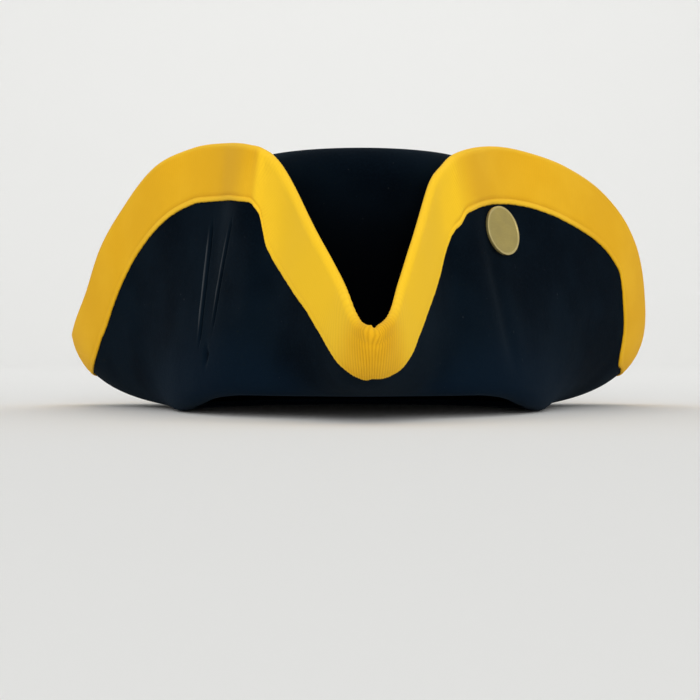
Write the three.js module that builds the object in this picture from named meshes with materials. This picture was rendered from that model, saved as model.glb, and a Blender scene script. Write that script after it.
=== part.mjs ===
// Tricorn hat: a felt crown, a felt brim turned up in three flaps, a ribbed binding folded over the
// brim's whole edge, and a flat metal button on the wearer's left flap.
// Millimetres. The front faces -Y, +X is the wearer's left, +Z is up, and the hat rests on z = 0.

import * as THREE from "three";

// Driving dimensions of the crown
const headLength = 202; // the opening inside, front to back
const headWidth = 168; // the opening inside, side to side
const crownHeight = 132;
const crownFelt = 2;
const crownTaper = 14; // how much each side leans in between the fold and the shoulder
const shoulderRadius = 22;
const tipDome = 5; // how far the middle of the crown's tip stands above its shoulder

// Driving dimensions of the brim
const brimWidth = 118; // across the felt, from the fold to the edge
const brimFelt = 2;
const foldFlat = 5; // level strip of brim next to the fold, on which the hat rests
const frontLift = 10; // how far the fold rises above the ground at the front
const clearance = 0.3;

// Driving dimensions of the binding
const bindingWidth = 28; // on each side of the brim
const bindingThickness = 0.9;
const bindingCorner = 0.7; // share of its half gap that stays level over the brim's edge

// Driving dimensions of the button
const buttonDiameter = 24;
const buttonThickness = 1.2;
const buttonRimWidth = 0.9;
const buttonRimHeight = 0.3;
const shankDiameter = 6;
const shankLength = 2.6;
const buttonDrop = 2.4; // bare felt between the binding and the button
const buttonSection = "left flap, top"; // the section next to which the button sits
const buttonShift = 0; // how far it sits from that section towards the next one
const buttonTurn = 10; // how far it is turned from the felt's facing towards the front, in degrees

const taperPower = 1.3; // above 1 the crown's wall starts upright and leans in more towards the top
const steepestSlant = 0.6; // sine of the sharpest angle at which the binding is still measured square

// Fineness of the meshes
const stepsPerSection = 2;
const bindingRows = 3;
const wallRows = 7;
const crownWallRows = 4;
const shoulderRows = 3;
const tipRows = 2;
const buttonSides = 28;

// Sections of the brim, one row for each, from the front point round by the wearer's left.
// turn: the angle of its foot on the head opening, in degrees from the front.
// lift: how far the fold is raised there, as a share of frontLift.
// out, slide, up: the way from the foot to the edge, outwards, along the opening and upwards.
// bow, curl: the level handle at the foot of the curve, and the handle at the edge.
// Those five are shares of brimWidth. rise: the slope of the felt at its edge, in degrees.
const columns = ["place", "turn", "lift", "out", "slide", "up", "bow", "curl", "rise"];
const sections = [
  ["front point", 2, 1, 0.735, -0.02, 0.25, 0.34, 0.22, 54],
  ["left of the point", 6, 1, 0.65, -0.07, 0.295, 0.32, 0.24, 56],
  ["left leg, low", 12, 1, 0.465, -0.13, 0.41, 0.26, 0.28, 58],
  ["left leg, middle", 19, 1, 0.26, -0.135, 0.615, 0.19, 0.3, 63],
  ["left leg, high", 26, 1, 0.1, -0.125, 0.78, 0.15, 0.32, 74],
  ["left front corner", 33, 1, 0.02, -0.13, 0.88, 0.13, 0.34, 84],
  ["left flap, front", 41, 0.97, -0.035, -0.115, 0.96, 0.11, 0.35, 90],
  ["left flap, top", 51, 0.8, -0.11, 0.06, 1.025, 0.09, 0.36, 96],
  ["left valley", 63, 0.4, -0.06, 0.15, 1.06, 0.08, 0.36, 94],
  ["left wing, start", 78, 0.08, 0.125, 0.17, 1.04, 0.1, 0.36, 84],
  ["left wing, high", 91, 0, 0.35, 0.2, 0.955, 0.16, 0.35, 77],
  ["left wing, middle", 101, 0, 0.535, 0.155, 0.82, 0.25, 0.34, 74],
  ["left wing, low", 109, 0, 0.675, 0.11, 0.645, 0.33, 0.32, 75],
  ["left tip, front side", 116, 0, 0.77, 0.06, 0.44, 0.4, 0.27, 79],
  ["left tip", 122, 0, 0.845, 0.04, 0.34, 0.43, 0.23, 76],
  ["left tip, back side", 129, 0, 0.805, -0.05, 0.385, 0.4, 0.25, 74],
  ["back flap, left low", 137, 0, 0.685, -0.165, 0.52, 0.32, 0.3, 72],
  ["back flap, left", 147, 0, 0.51, -0.235, 0.735, 0.22, 0.34, 72],
  ["back flap, left high", 160, 0, 0.3, -0.235, 0.935, 0.13, 0.36, 78],
  ["back flap, middle", 180, 0, 0.12, 0, 1.02, 0.09, 0.36, 86],
  ["back flap, right high", 200, 0, 0.295, 0.24, 0.935, 0.13, 0.36, 78],
  ["back flap, right", 212, 0, 0.495, 0.26, 0.735, 0.22, 0.34, 72],
  ["back flap, right low", 222, 0, 0.66, 0.21, 0.52, 0.32, 0.3, 72],
  ["right tip, back side", 231, 0, 0.785, 0.11, 0.385, 0.4, 0.25, 74],
  ["right tip", 239, 0, 0.82, -0.01, 0.33, 0.42, 0.23, 76],
  ["right tip, front side", 247, 0, 0.71, -0.05, 0.385, 0.37, 0.27, 74],
  ["right wing, low", 255, 0, 0.58, -0.1, 0.53, 0.3, 0.32, 67],
  ["right wing, middle", 263, 0, 0.45, -0.13, 0.735, 0.22, 0.34, 66],
  ["right wing, high", 271, 0, 0.3, -0.14, 0.905, 0.15, 0.35, 71],
  ["right wing, start", 282, 0.08, 0.135, -0.12, 1.045, 0.1, 0.36, 80],
  ["right valley", 296, 0.4, -0.02, -0.13, 1.07, 0.08, 0.36, 92],
  ["right flap, top", 308, 0.8, -0.07, -0.05, 1.03, 0.09, 0.36, 95],
  ["right flap, front", 319, 0.97, 0.02, 0.085, 0.975, 0.11, 0.35, 90],
  ["right front corner", 327, 1, 0.045, 0.1, 0.92, 0.13, 0.34, 84],
  ["right leg, high", 335, 1, 0.115, 0.115, 0.785, 0.15, 0.32, 74],
  ["right leg, middle", 343, 1, 0.27, 0.13, 0.615, 0.19, 0.3, 63],
  ["right leg, low", 351, 1, 0.46, 0.13, 0.415, 0.26, 0.28, 58],
  ["right of the point", 357, 1, 0.665, 0.075, 0.28, 0.32, 0.24, 56],
].map((row) => Object.fromEntries(columns.map((name, at) => [name, row[at]])));

// Colours and finishes
const finish = (color, roughness, metalness) =>
  new THREE.MeshStandardMaterial({ color, roughness, metalness });
const feltBlack = finish(0x0c141c, 0.95, 0);
const crownBlack = finish(0x0a1017, 0.95, 0);
const bindingYellow = finish(0xeaa61c, 0.85, 0);
const dullBrass = finish(0x96895a, 0.45, 0.9);

const up = new THREE.Vector3(0, 0, 1);

// The value of one column between two sections, smoothed through the four sections nearest to it.
function column(name, index, share) {
  const count = sections.length;
  const [before, from, to, after] = [-1, 0, 1, 2].map((step) => {
    const row = index + step;
    const laps = Math.floor(row / count);
    return sections[row - laps * count][name] + (name === "turn" ? laps * 360 : 0);
  });
  const startSlope = (to - before) / 2;
  const endSlope = (after - from) / 2;
  const bend = 3 * (to - from) - 2 * startSlope - endSlope;
  const twist = startSlope + endSlope - 2 * (to - from);
  return from + share * (startSlope + share * (bend + share * twist));
}

// A point of the oval round the head opening, grown outwards, and the direction that faces away from
// it there.
function ovalPoint(turn, grow) {
  const angle = THREE.MathUtils.degToRad(turn);
  const across = headWidth / 2 + grow;
  const along = headLength / 2 + grow;
  return new THREE.Vector3(across * Math.sin(angle), -along * Math.cos(angle), 0);
}

function ovalNormal(turn, grow) {
  const angle = THREE.MathUtils.degToRad(turn);
  const across = headWidth / 2 + grow;
  const along = headLength / 2 + grow;
  return new THREE.Vector3(Math.sin(angle) / across, -Math.cos(angle) / along, 0).normalize();
}

// How far the fold stands above the ground at a place between two sections.
function foldHeight(index, share) {
  return frontLift * Math.max(0, column("lift", index, share));
}

// The middle of the felt at one place round the brim: its foot beside the crown, and the curve up to
// its edge.
function brimSection(index, share) {
  const turn = column("turn", index, share);
  const grow = crownFelt + clearance;
  const outwards = ovalNormal(turn, grow);
  const sideways = new THREE.Vector3().crossVectors(up, outwards);
  const foot = ovalPoint(turn, grow);
  foot.z = foldHeight(index, share) + brimFelt / 2;
  const at = (out, slide, height) =>
    foot
      .clone()
      .addScaledVector(outwards, out * brimWidth)
      .addScaledVector(sideways, slide * brimWidth)
      .addScaledVector(up, height * brimWidth);
  const rise = THREE.MathUtils.degToRad(column("rise", index, share));
  const curl = column("curl", index, share);
  const reach = column("out", index, share);
  const height = column("up", index, share);
  const flatEnd = foldFlat / brimWidth;
  const curve = new THREE.CubicBezierCurve3(
    at(flatEnd, 0, 0),
    at(flatEnd + column("bow", index, share), 0, 0),
    at(reach - curl * Math.cos(rise), 0, height - curl * Math.sin(rise)),
    at(reach, column("slide", index, share), height),
  );
  return { foot, curve, length: curve.getLength() };
}

// How much further the section runs under the binding where it crosses the edge at a slant.
function slant(index, share, section) {
  const nudge = 0.05;
  const ahead = brimSection(index, share + nudge).curve.v3;
  const behind = brimSection(index, share - nudge).curve.v3;
  const alongEdge = ahead.clone().sub(behind).normalize();
  const acrossEdge = section.curve.getTangent(1);
  return 1 / Math.max(steepestSlant, alongEdge.cross(acrossEdge).length());
}

// Rows of points in the middle of the felt, from the edge to the foot, at one place round the brim.
function middlePoints(index, share) {
  const section = brimSection(index, share);
  const covered = (bindingWidth * slant(index, share, section)) / section.length;
  const points = [];
  for (let row = 0; row <= bindingRows; row += 1) {
    points.push(section.curve.getPointAt(1 - (covered * row) / bindingRows));
  }
  for (let row = 1; row <= wallRows; row += 1) {
    points.push(section.curve.getPointAt((1 - covered) * (1 - row / wallRows)));
  }
  points.push(section.foot);
  return points;
}

// The middle points of the whole brim with, at each, the direction that faces away from the crown.
function brimSheet() {
  const stations = [];
  for (let index = 0; index < sections.length; index += 1) {
    for (let step = 0; step < stepsPerSection; step += 1) {
      stations.push(middlePoints(index, step / stepsPerSection));
    }
  }
  const count = stations.length;
  return stations.map((points, station) =>
    points.map((point, row) => {
      const ahead = stations[(station + 1) % count][row];
      const behind = stations[(station + count - 1) % count][row];
      const around = ahead.clone().sub(behind);
      const towardsEdge = points[Math.max(row - 1, 0)];
      const towardsFoot = points[Math.min(row + 1, points.length - 1)];
      const inwards = towardsFoot.clone().sub(towardsEdge);
      const facing = around.cross(inwards).normalize().negate();
      const isFlat = row >= points.length - 2;
      return { point, facing: isFlat ? up.clone().negate() : facing };
    }),
  );
}

// A solid skin over a grid of points. Every line of the grid is a closed loop round the hat, and the
// lines either close on themselves or end in two poles.
function skin(lines, poles) {
  const across = lines[0].length;
  const positions = lines.flat().flatMap((point) => [point.x, point.y, point.z]);
  const triangles = [];
  const lastLine = poles ? lines.length - 1 : lines.length;
  for (let line = 0; line < lastLine; line += 1) {
    const next = (line + 1) % lines.length;
    for (let place = 0; place < across; place += 1) {
      const beside = (place + 1) % across;
      const [near, far] = [line * across, next * across];
      triangles.push(near + place, near + beside, far + beside);
      triangles.push(near + place, far + beside, far + place);
    }
  }
  if (poles) {
    const [first, last] = [lines.length * across, lines.length * across + 1];
    const lastStart = (lines.length - 1) * across;
    poles.forEach((pole) => positions.push(pole.x, pole.y, pole.z));
    for (let place = 0; place < across; place += 1) {
      const beside = (place + 1) % across;
      triangles.push(first, beside, place, last, lastStart + place, lastStart + beside);
    }
  }
  const geometry = new THREE.BufferGeometry();
  geometry.setAttribute("position", new THREE.Float32BufferAttribute(positions, 3));
  geometry.setIndex(signedVolume(positions, triangles) > 0 ? triangles : triangles.reverse());
  geometry.computeVertexNormals();
  return geometry;
}

// The volume inside a skin, which is below zero if its triangles face inwards.
function signedVolume(positions, triangles) {
  const corner = (place) => new THREE.Vector3().fromArray(positions, triangles[place] * 3);
  let volume = 0;
  for (let start = 0; start < triangles.length; start += 3) {
    volume += corner(start).dot(corner(start + 1).cross(corner(start + 2))) / 6;
  }
  return volume;
}

// A point beside the middle of the felt: aside is measured away from the crown, beyond past the edge.
function beside(station, row, aside, beyond = 0) {
  const { point, facing } = station[row];
  const pastEdge = station[0].point.clone().sub(station[1].point).normalize();
  return point.clone().addScaledVector(facing, aside).addScaledVector(pastEdge, beyond);
}

function brimGeometry(sheet) {
  const rows = sheet[0].map((_, row) => row);
  const line = (row, aside) => sheet.map((station) => beside(station, row, aside));
  const outside = rows.map((row) => line(row, brimFelt / 2));
  const inside = rows.map((row) => line(row, -brimFelt / 2));
  return skin([...outside, ...inside.reverse()]);
}

function bindingGeometry(sheet) {
  const near = brimFelt / 2 + clearance;
  const far = near + bindingThickness;
  const over = clearance + bindingThickness;
  const line = (row, aside, beyond = 0) =>
    sheet.map((station) => beside(station, row, aside, beyond));
  const lines = [];
  for (let row = bindingRows; row > 0; row -= 1) {
    lines.push(line(row, far));
  }
  lines.push(line(0, far), line(0, near * bindingCorner, over));
  lines.push(line(0, -near * bindingCorner, over), line(0, -far));
  for (let row = 1; row <= bindingRows; row += 1) {
    lines.push(line(row, -far));
  }
  for (let row = bindingRows; row > 0; row -= 1) {
    lines.push(line(row, -near));
  }
  lines.push(line(0, -near, clearance), line(0, near, clearance));
  for (let row = 1; row <= bindingRows; row += 1) {
    lines.push(line(row, near));
  }
  return skin(lines);
}

// One surface of the crown, from its lower rim to the middle of its tip. grow is 0 inside and crownFelt
// outside.
function crownSurface(grow) {
  const places = [];
  for (let index = 0; index < sections.length; index += 1) {
    for (let step = 0; step < stepsPerSection; step += 1) {
      const share = step / stepsPerSection;
      places.push({ turn: column("turn", index, share), rim: foldHeight(index, share) });
    }
  }
  const radius = shoulderRadius - crownFelt + grow;
  const top = crownHeight - tipDome - crownFelt + grow;
  const shoulder = top - radius;
  const ring = (inset, height) =>
    places.map(({ turn, rim }) => {
      const point = ovalPoint(turn, grow - inset);
      point.z = Math.max(rim, height);
      return point;
    });
  const lines = [];
  for (let row = 0; row <= crownWallRows; row += 1) {
    const share = row / crownWallRows;
    const inset = crownTaper * share ** taperPower;
    lines.push(
      places.map(({ turn, rim }) => {
        const point = ovalPoint(turn, grow - inset);
        point.z = rim + (shoulder - rim) * share;
        return point;
      }),
    );
  }
  for (let row = 1; row <= shoulderRows; row += 1) {
    const bend = (Math.PI / 2) * (row / shoulderRows);
    const inset = crownTaper + radius * (1 - Math.cos(bend));
    lines.push(ring(inset, shoulder + radius * Math.sin(bend)));
  }
  const edge = lines[lines.length - 1];
  for (let row = 1; row <= tipRows; row += 1) {
    const share = row / (tipRows + 1);
    lines.push(
      edge.map((point) => {
        const domed = point.clone().multiplyScalar(1 - share);
        domed.z = top + tipDome * (1 - (1 - share) ** 2);
        return domed;
      }),
    );
  }
  return { lines, pole: new THREE.Vector3(0, 0, top + tipDome) };
}

function crownGeometry() {
  const outer = crownSurface(crownFelt);
  const inner = crownSurface(0);
  return skin([...outer.lines.reverse(), ...inner.lines], [outer.pole, inner.pole]);
}

// A flat disc with a thin raised rim on a short shank, its axis along Y and its face towards +Y.
function buttonGeometry() {
  const radius = buttonDiameter / 2;
  const back = shankLength;
  const front = shankLength + buttonThickness;
  const bevel = buttonRimHeight / 2;
  const profile = [
    [0, 0],
    [shankDiameter / 2, 0],
    [shankDiameter / 2, back],
    [radius - bevel, back],
    [radius, back + bevel],
    [radius, front + bevel],
    [radius - buttonRimWidth / 2, front + buttonRimHeight],
    [radius - buttonRimWidth, front],
    [0, front],
  ];
  const outline = profile.map(([x, y]) => new THREE.Vector2(x, y));
  return new THREE.LatheGeometry(outline, buttonSides);
}

function named(name, geometry, material) {
  const mesh = new THREE.Mesh(geometry, material);
  mesh.name = name;
  return mesh;
}

// The place of the button on the outside of the flap, and the way that it faces.
function buttonSeat() {
  const index = sections.findIndex(({ place }) => place === buttonSection);
  const drop = bindingWidth + buttonDrop + buttonDiameter / 2;
  const at = (shift, extra) => {
    const section = brimSection(index, buttonShift + shift);
    const covered = ((drop + extra) * slant(index, buttonShift, section)) / section.length;
    return section.curve.getPointAt(1 - covered);
  };
  const spread = 0.1;
  const around = at(spread, 0).sub(at(-spread, 0));
  const downwards = at(0, spread).sub(at(0, -spread));
  const facing = around.cross(downwards).normalize().negate();
  const turn = THREE.MathUtils.degToRad(buttonTurn);
  const standOff = brimFelt / 2 + clearance + (shankDiameter / 2) * Math.sin(turn);
  const point = at(0, 0).addScaledVector(facing, standOff);
  return { point, facing: facing.applyAxisAngle(up, -turn) };
}

const sheet = brimSheet();
const crown = named("crown", crownGeometry(), crownBlack);
const brim = named("brim", brimGeometry(sheet), feltBlack);
const edgeBinding = named("edge_binding", bindingGeometry(sheet), bindingYellow);
const button = named("button", buttonGeometry(), dullBrass);

const seat = buttonSeat();
button.position.copy(seat.point);
button.quaternion.setFromUnitVectors(new THREE.Vector3(0, 1, 0), seat.facing);

// The origin is on the ground under the middle of the hat.
const hat = new THREE.Group();
hat.add(crown, brim, edgeBinding, button);
const middle = new THREE.Box3().setFromObject(hat, true).getCenter(new THREE.Vector3());
hat.position.set(-middle.x, -middle.y, 0);

export default hat;
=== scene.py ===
"""A felt tricorn hat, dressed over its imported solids.

The crown and the brim are moulded from one blank of felt, so they are one piece here. A ribbed band is
folded over the brim's edge, and a flat brass button sits on the flap on the wearer's left.
Metres. The front faces -Y, +X is the wearer's left, and the hat rests on z = 0.
"""

from __future__ import annotations

import logging
import math
from dataclasses import dataclass, field, replace
from enum import Enum

import bpy
import numpy as np
from mathutils import Matrix, Vector

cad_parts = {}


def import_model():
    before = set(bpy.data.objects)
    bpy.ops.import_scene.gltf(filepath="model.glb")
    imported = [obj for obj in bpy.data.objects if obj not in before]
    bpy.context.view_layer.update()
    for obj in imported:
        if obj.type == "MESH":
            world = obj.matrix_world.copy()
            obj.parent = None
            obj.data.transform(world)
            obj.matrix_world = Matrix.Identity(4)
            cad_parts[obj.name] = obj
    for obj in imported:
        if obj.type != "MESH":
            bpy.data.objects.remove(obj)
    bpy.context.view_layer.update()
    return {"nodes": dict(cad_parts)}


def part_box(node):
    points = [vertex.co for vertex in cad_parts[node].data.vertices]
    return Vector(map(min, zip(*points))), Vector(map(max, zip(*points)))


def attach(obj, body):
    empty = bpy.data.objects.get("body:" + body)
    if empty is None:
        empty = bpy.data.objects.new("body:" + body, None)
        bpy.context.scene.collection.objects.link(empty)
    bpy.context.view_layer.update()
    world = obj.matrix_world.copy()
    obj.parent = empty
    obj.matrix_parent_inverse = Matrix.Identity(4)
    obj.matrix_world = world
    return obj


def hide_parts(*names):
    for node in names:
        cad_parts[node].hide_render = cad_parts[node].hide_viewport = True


LOG = logging.getLogger("tricorn")
MM = 0.001

# The same sections of the brim as the solids have, from the front point round by the wearer's left.
# turn: the angle of its foot on the head opening, in degrees from the front.
# lift: how far the fold is raised there, as a share of the lift at the front.
# out, slide, up: the way from the foot to the edge, outwards, along the opening and upwards.
# bow, curl: the level handle at the foot of the curve, and the handle at the edge.
# Those five are shares of the brim's width. rise: the slope of the felt at its edge, in degrees.
COLUMNS = ("place", "turn", "lift", "out", "slide", "up", "bow", "curl", "rise")
SECTIONS = (
    ("front point", 2, 1, 0.735, -0.02, 0.25, 0.34, 0.22, 54),
    ("left of the point", 6, 1, 0.65, -0.07, 0.295, 0.32, 0.24, 56),
    ("left leg, low", 12, 1, 0.465, -0.13, 0.41, 0.26, 0.28, 58),
    ("left leg, middle", 19, 1, 0.26, -0.135, 0.615, 0.19, 0.3, 63),
    ("left leg, high", 26, 1, 0.1, -0.125, 0.78, 0.15, 0.32, 74),
    ("left front corner", 33, 1, 0.02, -0.13, 0.88, 0.13, 0.34, 84),
    ("left flap, front", 41, 0.97, -0.035, -0.115, 0.96, 0.11, 0.35, 90),
    ("left flap, top", 51, 0.8, -0.11, 0.06, 1.025, 0.09, 0.36, 96),
    ("left valley", 63, 0.4, -0.06, 0.15, 1.06, 0.08, 0.36, 94),
    ("left wing, start", 78, 0.08, 0.125, 0.17, 1.04, 0.1, 0.36, 84),
    ("left wing, high", 91, 0, 0.35, 0.2, 0.955, 0.16, 0.35, 77),
    ("left wing, middle", 101, 0, 0.535, 0.155, 0.82, 0.25, 0.34, 74),
    ("left wing, low", 109, 0, 0.675, 0.11, 0.645, 0.33, 0.32, 75),
    ("left tip, front side", 116, 0, 0.77, 0.06, 0.44, 0.4, 0.27, 79),
    ("left tip", 122, 0, 0.845, 0.04, 0.34, 0.43, 0.23, 76),
    ("left tip, back side", 129, 0, 0.805, -0.05, 0.385, 0.4, 0.25, 74),
    ("back flap, left low", 137, 0, 0.685, -0.165, 0.52, 0.32, 0.3, 72),
    ("back flap, left", 147, 0, 0.51, -0.235, 0.735, 0.22, 0.34, 72),
    ("back flap, left high", 160, 0, 0.3, -0.235, 0.935, 0.13, 0.36, 78),
    ("back flap, middle", 180, 0, 0.12, 0, 1.02, 0.09, 0.36, 86),
    ("back flap, right high", 200, 0, 0.295, 0.24, 0.935, 0.13, 0.36, 78),
    ("back flap, right", 212, 0, 0.495, 0.26, 0.735, 0.22, 0.34, 72),
    ("back flap, right low", 222, 0, 0.66, 0.21, 0.52, 0.32, 0.3, 72),
    ("right tip, back side", 231, 0, 0.785, 0.11, 0.385, 0.4, 0.25, 74),
    ("right tip", 239, 0, 0.82, -0.01, 0.33, 0.42, 0.23, 76),
    ("right tip, front side", 247, 0, 0.71, -0.05, 0.385, 0.37, 0.27, 74),
    ("right wing, low", 255, 0, 0.58, -0.1, 0.53, 0.3, 0.32, 67),
    ("right wing, middle", 263, 0, 0.45, -0.13, 0.735, 0.22, 0.34, 66),
    ("right wing, high", 271, 0, 0.3, -0.14, 0.905, 0.15, 0.35, 71),
    ("right wing, start", 282, 0.08, 0.135, -0.12, 1.045, 0.1, 0.36, 80),
    ("right valley", 296, 0.4, -0.02, -0.13, 1.07, 0.08, 0.36, 92),
    ("right flap, top", 308, 0.8, -0.07, -0.05, 1.03, 0.09, 0.36, 95),
    ("right flap, front", 319, 0.97, 0.02, 0.085, 0.975, 0.11, 0.35, 90),
    ("right front corner", 327, 1, 0.045, 0.1, 0.92, 0.13, 0.34, 84),
    ("right leg, high", 335, 1, 0.115, 0.115, 0.785, 0.15, 0.32, 74),
    ("right leg, middle", 343, 1, 0.27, 0.13, 0.615, 0.19, 0.3, 63),
    ("right leg, low", 351, 1, 0.46, 0.13, 0.415, 0.26, 0.28, 58),
    ("right of the point", 357, 1, 0.665, 0.075, 0.28, 0.32, 0.24, 56),
)


# How the brim was trimmed and the band sewn on by hand, at places counted in sections from the front.
# trimmed: how far the edge lies below the even edge of the sections. wider: what the band covers beyond
# its own width. Both in millimetres, and 0 where the back is plain.
TRIM_COLUMNS = ("place", "trimmed", "wider")
TRIM = (
    (0.0, 2.4, 4.5),
    (0.25, 3.5, 4.5),
    (0.5, 2.6, 4.5),
    (0.7, 3.2, 4.5),
    (1.0, 3.8, 4.6),
    (1.4, 3.2, 2.3),
    (2.0, 1.1, -0.5),
    (2.5, 0.0, 0.0),
    (3.0, 0.3, 2.4),
    (3.5, 0.3, 2.8),
    (4.0, 0.4, 1.2),
    (4.6, 1.2, 0.0),
    (5.3, 2.8, 1.0),
    (6.0, 3.0, 1.6),
    (7.0, 2.2, 1.1),
    (8.0, 1.2, 0.9),
    (9.0, 0.6, 0.1),
    (10.0, 1.2, 0.5),
    (11.0, 1.5, -0.2),
    (11.5, 1.5, 6.5),
    (12.0, 2.8, 8.8),
    (12.5, 3.6, 6.8),
    (13.2, 0.9, 4.6),
    (14.0, 0.0, 2.8),
    (15.0, 0.0, 1.0),
    (16.0, 0.0, 0.0),
    (23.8, 0.0, 0.0),
    (24.5, 1.2, 0.0),
    (25.2, 1.4, 0.3),
    (26.0, 2.4, 0.8),
    (27.0, 3.2, 4.4),
    (28.0, 3.1, 3.2),
    (29.0, 2.3, 3.8),
    (30.0, 1.5, 1.0),
    (31.0, 1.4, 0.0),
    (32.0, 1.2, -1.7),
    (32.5, 0.8, -2.8),
    (33.0, 0.8, -2.6),
    (33.45, 0.3, 5.0),
    (34.0, 0.2, 6.6),
    (34.5, 0.1, 5.4),
    (35.0, 0.2, 3.2),
    (35.5, 0.4, 0.2),
    (36.0, 1.6, -0.2),
    (36.5, 3.1, 0.0),
    (37.0, 3.5, 0.8),
    (37.4, 1.8, 2.6),
    (37.7, 1.1, 4.0),
)


class Side(Enum):
    """The two faces of the brim."""

    OUTER = 1.0
    INNER = -1.0


@dataclass(frozen=True)
class Relief:
    """A dent or ridge that runs across the brim, from near its edge towards its fold.

    top_place and foot_place count sections round the brim. top and foot are shares of the way from the
    edge to the fold. width and height are metres, and a height below zero is a dent. fade is the share
    of its length over which each end dies out. The last field is the light and shade painted along it:
    a painted highlight above zero, and painted shade below zero.
    """

    name: str
    top_place: float
    foot_place: float
    top: float
    foot: float
    width: float
    height: float
    fade: float = 0.2
    painted_light: float = 0.0


# Last column: painted shade below zero in the creases and the dimple, painted highlight above zero on the
# ridges.
RELIEFS = (
    Relief("outer crease", 30.72, 30.8, 0.3, 0.8, 0.75 * MM, -2.0 * MM, 0.15, -0.9),
    Relief("ridge beside the outer crease", 30.6, 30.68, 0.3, 0.8, 0.6 * MM, 0.7 * MM, 0.3, 1.0),
    Relief("inner crease", 31.8, 31.45, 0.28, 0.74, 0.75 * MM, -1.8 * MM, 0.2, -0.9),
    Relief("ridge beside the inner crease", 31.68, 31.33, 0.28, 0.74, 0.6 * MM, 0.6 * MM, 0.35, 0.8),
    Relief("dimple", 31.2, 31.2, 0.79, 0.88, 2.2 * MM, -1.7 * MM, 0.5, -0.6),
    Relief("swell by the front corner", 32.35, 32.7, 0.22, 0.8, 8 * MM, 1.1 * MM, 0.3, 0.1),
    Relief("bend of the band, right", 32.5, 32.9, -0.1, 0.3, 3.2 * MM, 0.9 * MM, 0.2),
    Relief("bend of the band, left", 5.85, 5.25, -0.1, 0.3, 4.5 * MM, 0.35 * MM, 0.2),
    Relief("left hollow", 6.45, 6.95, 0.34, 0.95, 7 * MM, -1.1 * MM, 0.3),
)


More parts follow.
